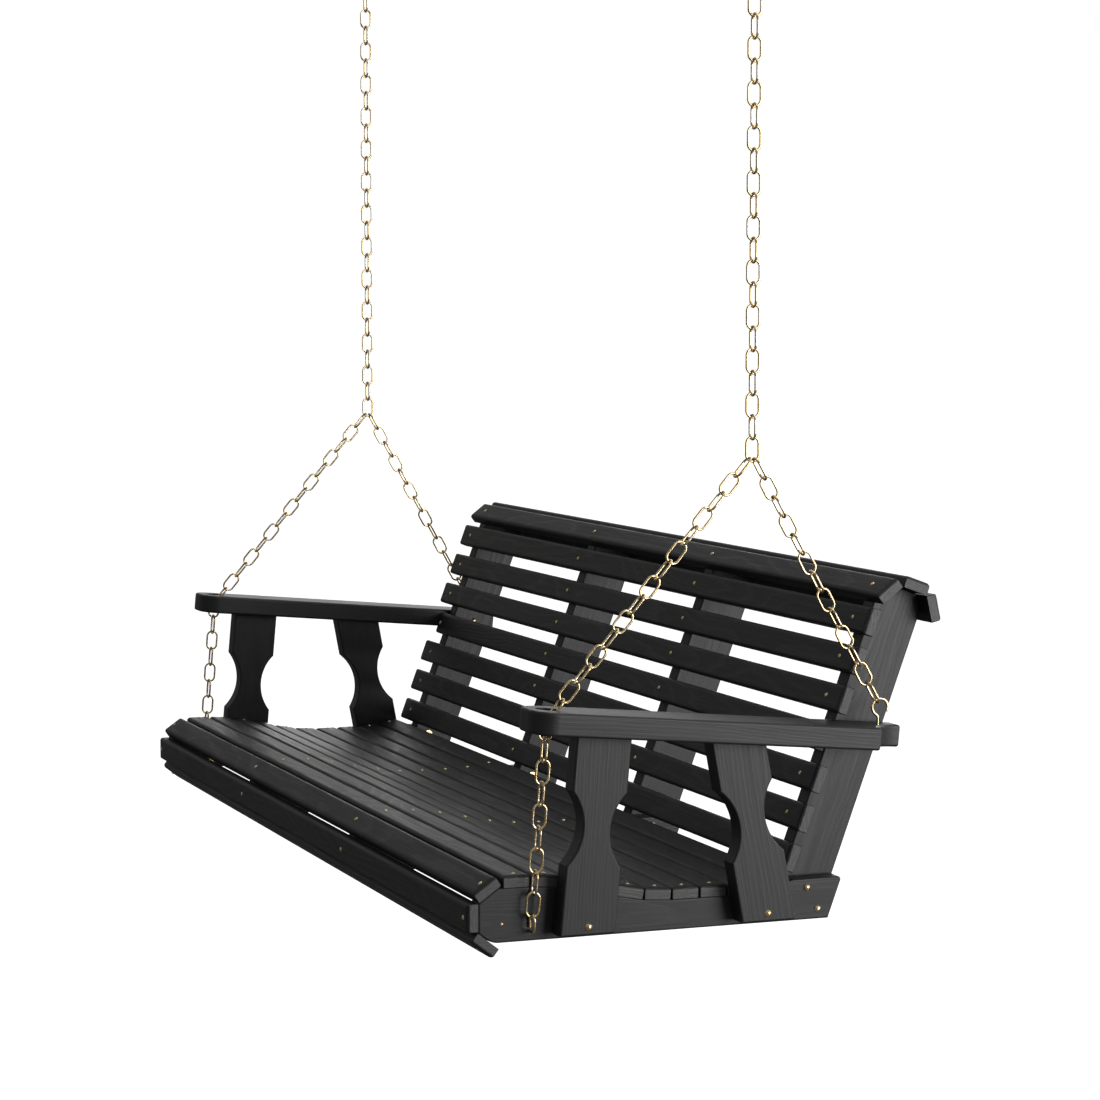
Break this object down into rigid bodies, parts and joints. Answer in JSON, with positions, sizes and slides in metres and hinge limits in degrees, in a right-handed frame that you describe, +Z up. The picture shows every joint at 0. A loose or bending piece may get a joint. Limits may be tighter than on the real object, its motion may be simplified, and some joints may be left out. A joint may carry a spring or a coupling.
{
  "type": "porch swing",
  "caption": "Slatted timber porch swing with a rolled-over back and hourglass arm supports, hung by chains from ceiling hooks.",
  "frame": {"origin": "on the ceiling plane, midway between the two hook shanks", "axes": "+Z up into the joist along the hook shanks, +X along the seat towards its left arm as one sits, -Y the way a sitter faces"},
  "size_m": [1.772, 0.6879, 1.5223],
  "materials": {
    "black_painted_timber": "satin black paint over softwood with raised grain",
    "bare_timber": "bare hardwood dowel",
    "gold_zinc_steel": "bright yellow zinc plate on steel"
  },
  "bodies": {
    "ceiling_hooks": {"left_ceiling_hook": "gold_zinc_steel", "right_ceiling_hook": "gold_zinc_steel"},
    "left_upper_chain": {"left_upper_chain": "gold_zinc_steel"},
    "right_upper_chain": {"right_upper_chain": "gold_zinc_steel"},
    "swing_seat": {"left_end_rail": "black_painted_timber", "right_end_rail": "black_painted_timber", "left_seat_rib": "black_painted_timber", "right_seat_rib": "black_painted_timber", "left_end_post": "black_painted_timber", "right_end_post": "black_painted_timber", "left_back_post": "black_painted_timber", "right_back_post": "black_painted_timber", "left_arm": "black_painted_timber", "right_arm": "black_painted_timber", "left_front_arm_support": "black_painted_timber", "left_rear_arm_support": "black_painted_timber", "right_front_arm_support": "black_painted_timber", "right_rear_arm_support": "black_painted_timber", "nose_slat_upper": "black_painted_timber", "nose_slat_front": "black_painted_timber", "nose_slat_lower": "black_painted_timber", "roll_slat_front": "black_painted_timber", "roll_slat_top": "black_painted_timber", "roll_slat_rear": "black_painted_timber", "arm_dowels": "bare_timber", "seat_slat_1": "black_painted_timber", "seat_slat_2": "black_painted_timber", "seat_slat_3": "black_painted_timber", "seat_slat_4": "black_painted_timber", "seat_slat_5": "black_painted_timber", "seat_slat_6": "black_painted_timber", "seat_slat_7": "black_painted_timber", "seat_slat_8": "black_painted_timber", "seat_slat_9": "black_painted_timber", "seat_slat_10": "black_painted_timber", "back_slat_1": "black_painted_timber", "back_slat_2": "black_painted_timber", "back_slat_3": "black_painted_timber", "back_slat_4": "black_painted_timber", "back_slat_5": "black_painted_timber", "back_slat_6": "black_painted_timber", "back_slat_7": "black_painted_timber", "left_front_chain": "gold_zinc_steel", "left_lower_chain": "gold_zinc_steel", "left_rear_chain": "gold_zinc_steel", "right_front_chain": "gold_zinc_steel", "right_lower_chain": "gold_zinc_steel", "right_rear_chain": "gold_zinc_steel", "left_arm_hook": "gold_zinc_steel", "right_arm_hook": "gold_zinc_steel", "rail_eye_bolts": "gold_zinc_steel", "seat_slat_screws": "gold_zinc_steel", "back_slat_screws": "gold_zinc_steel", "carriage_bolts": "gold_zinc_steel", "bolt_washers": "gold_zinc_steel", "bolt_nuts": "gold_zinc_steel", "arm_lag_screws": "gold_zinc_steel", "nose_screws": "gold_zinc_steel"}
  },
  "joints": [
    {"name": "left_chain_swing", "type": "hinge", "parent": "ceiling_hooks", "child": "left_upper_chain", "pos_m": [-0.841, 0, -0.04049], "axis": [1, 0, 0], "range_deg": [-22, 22]},
    {"name": "right_chain_swing", "type": "hinge", "parent": "ceiling_hooks", "child": "right_upper_chain", "pos_m": [0.841, 0, -0.04049], "axis": [1, 0, 0], "range_deg": [-22, 22]},
    {"name": "seat_tilt", "type": "hinge", "parent": "left_upper_chain", "child": "swing_seat", "pos_m": [-0.841, 0, -0.81269], "axis": [1, 0, 0], "range_deg": [-10, 10]}
  ],
  "couplings": [
    {"joint": "right_chain_swing", "follows": "left_chain_swing", "ratio": 1}
  ]
}
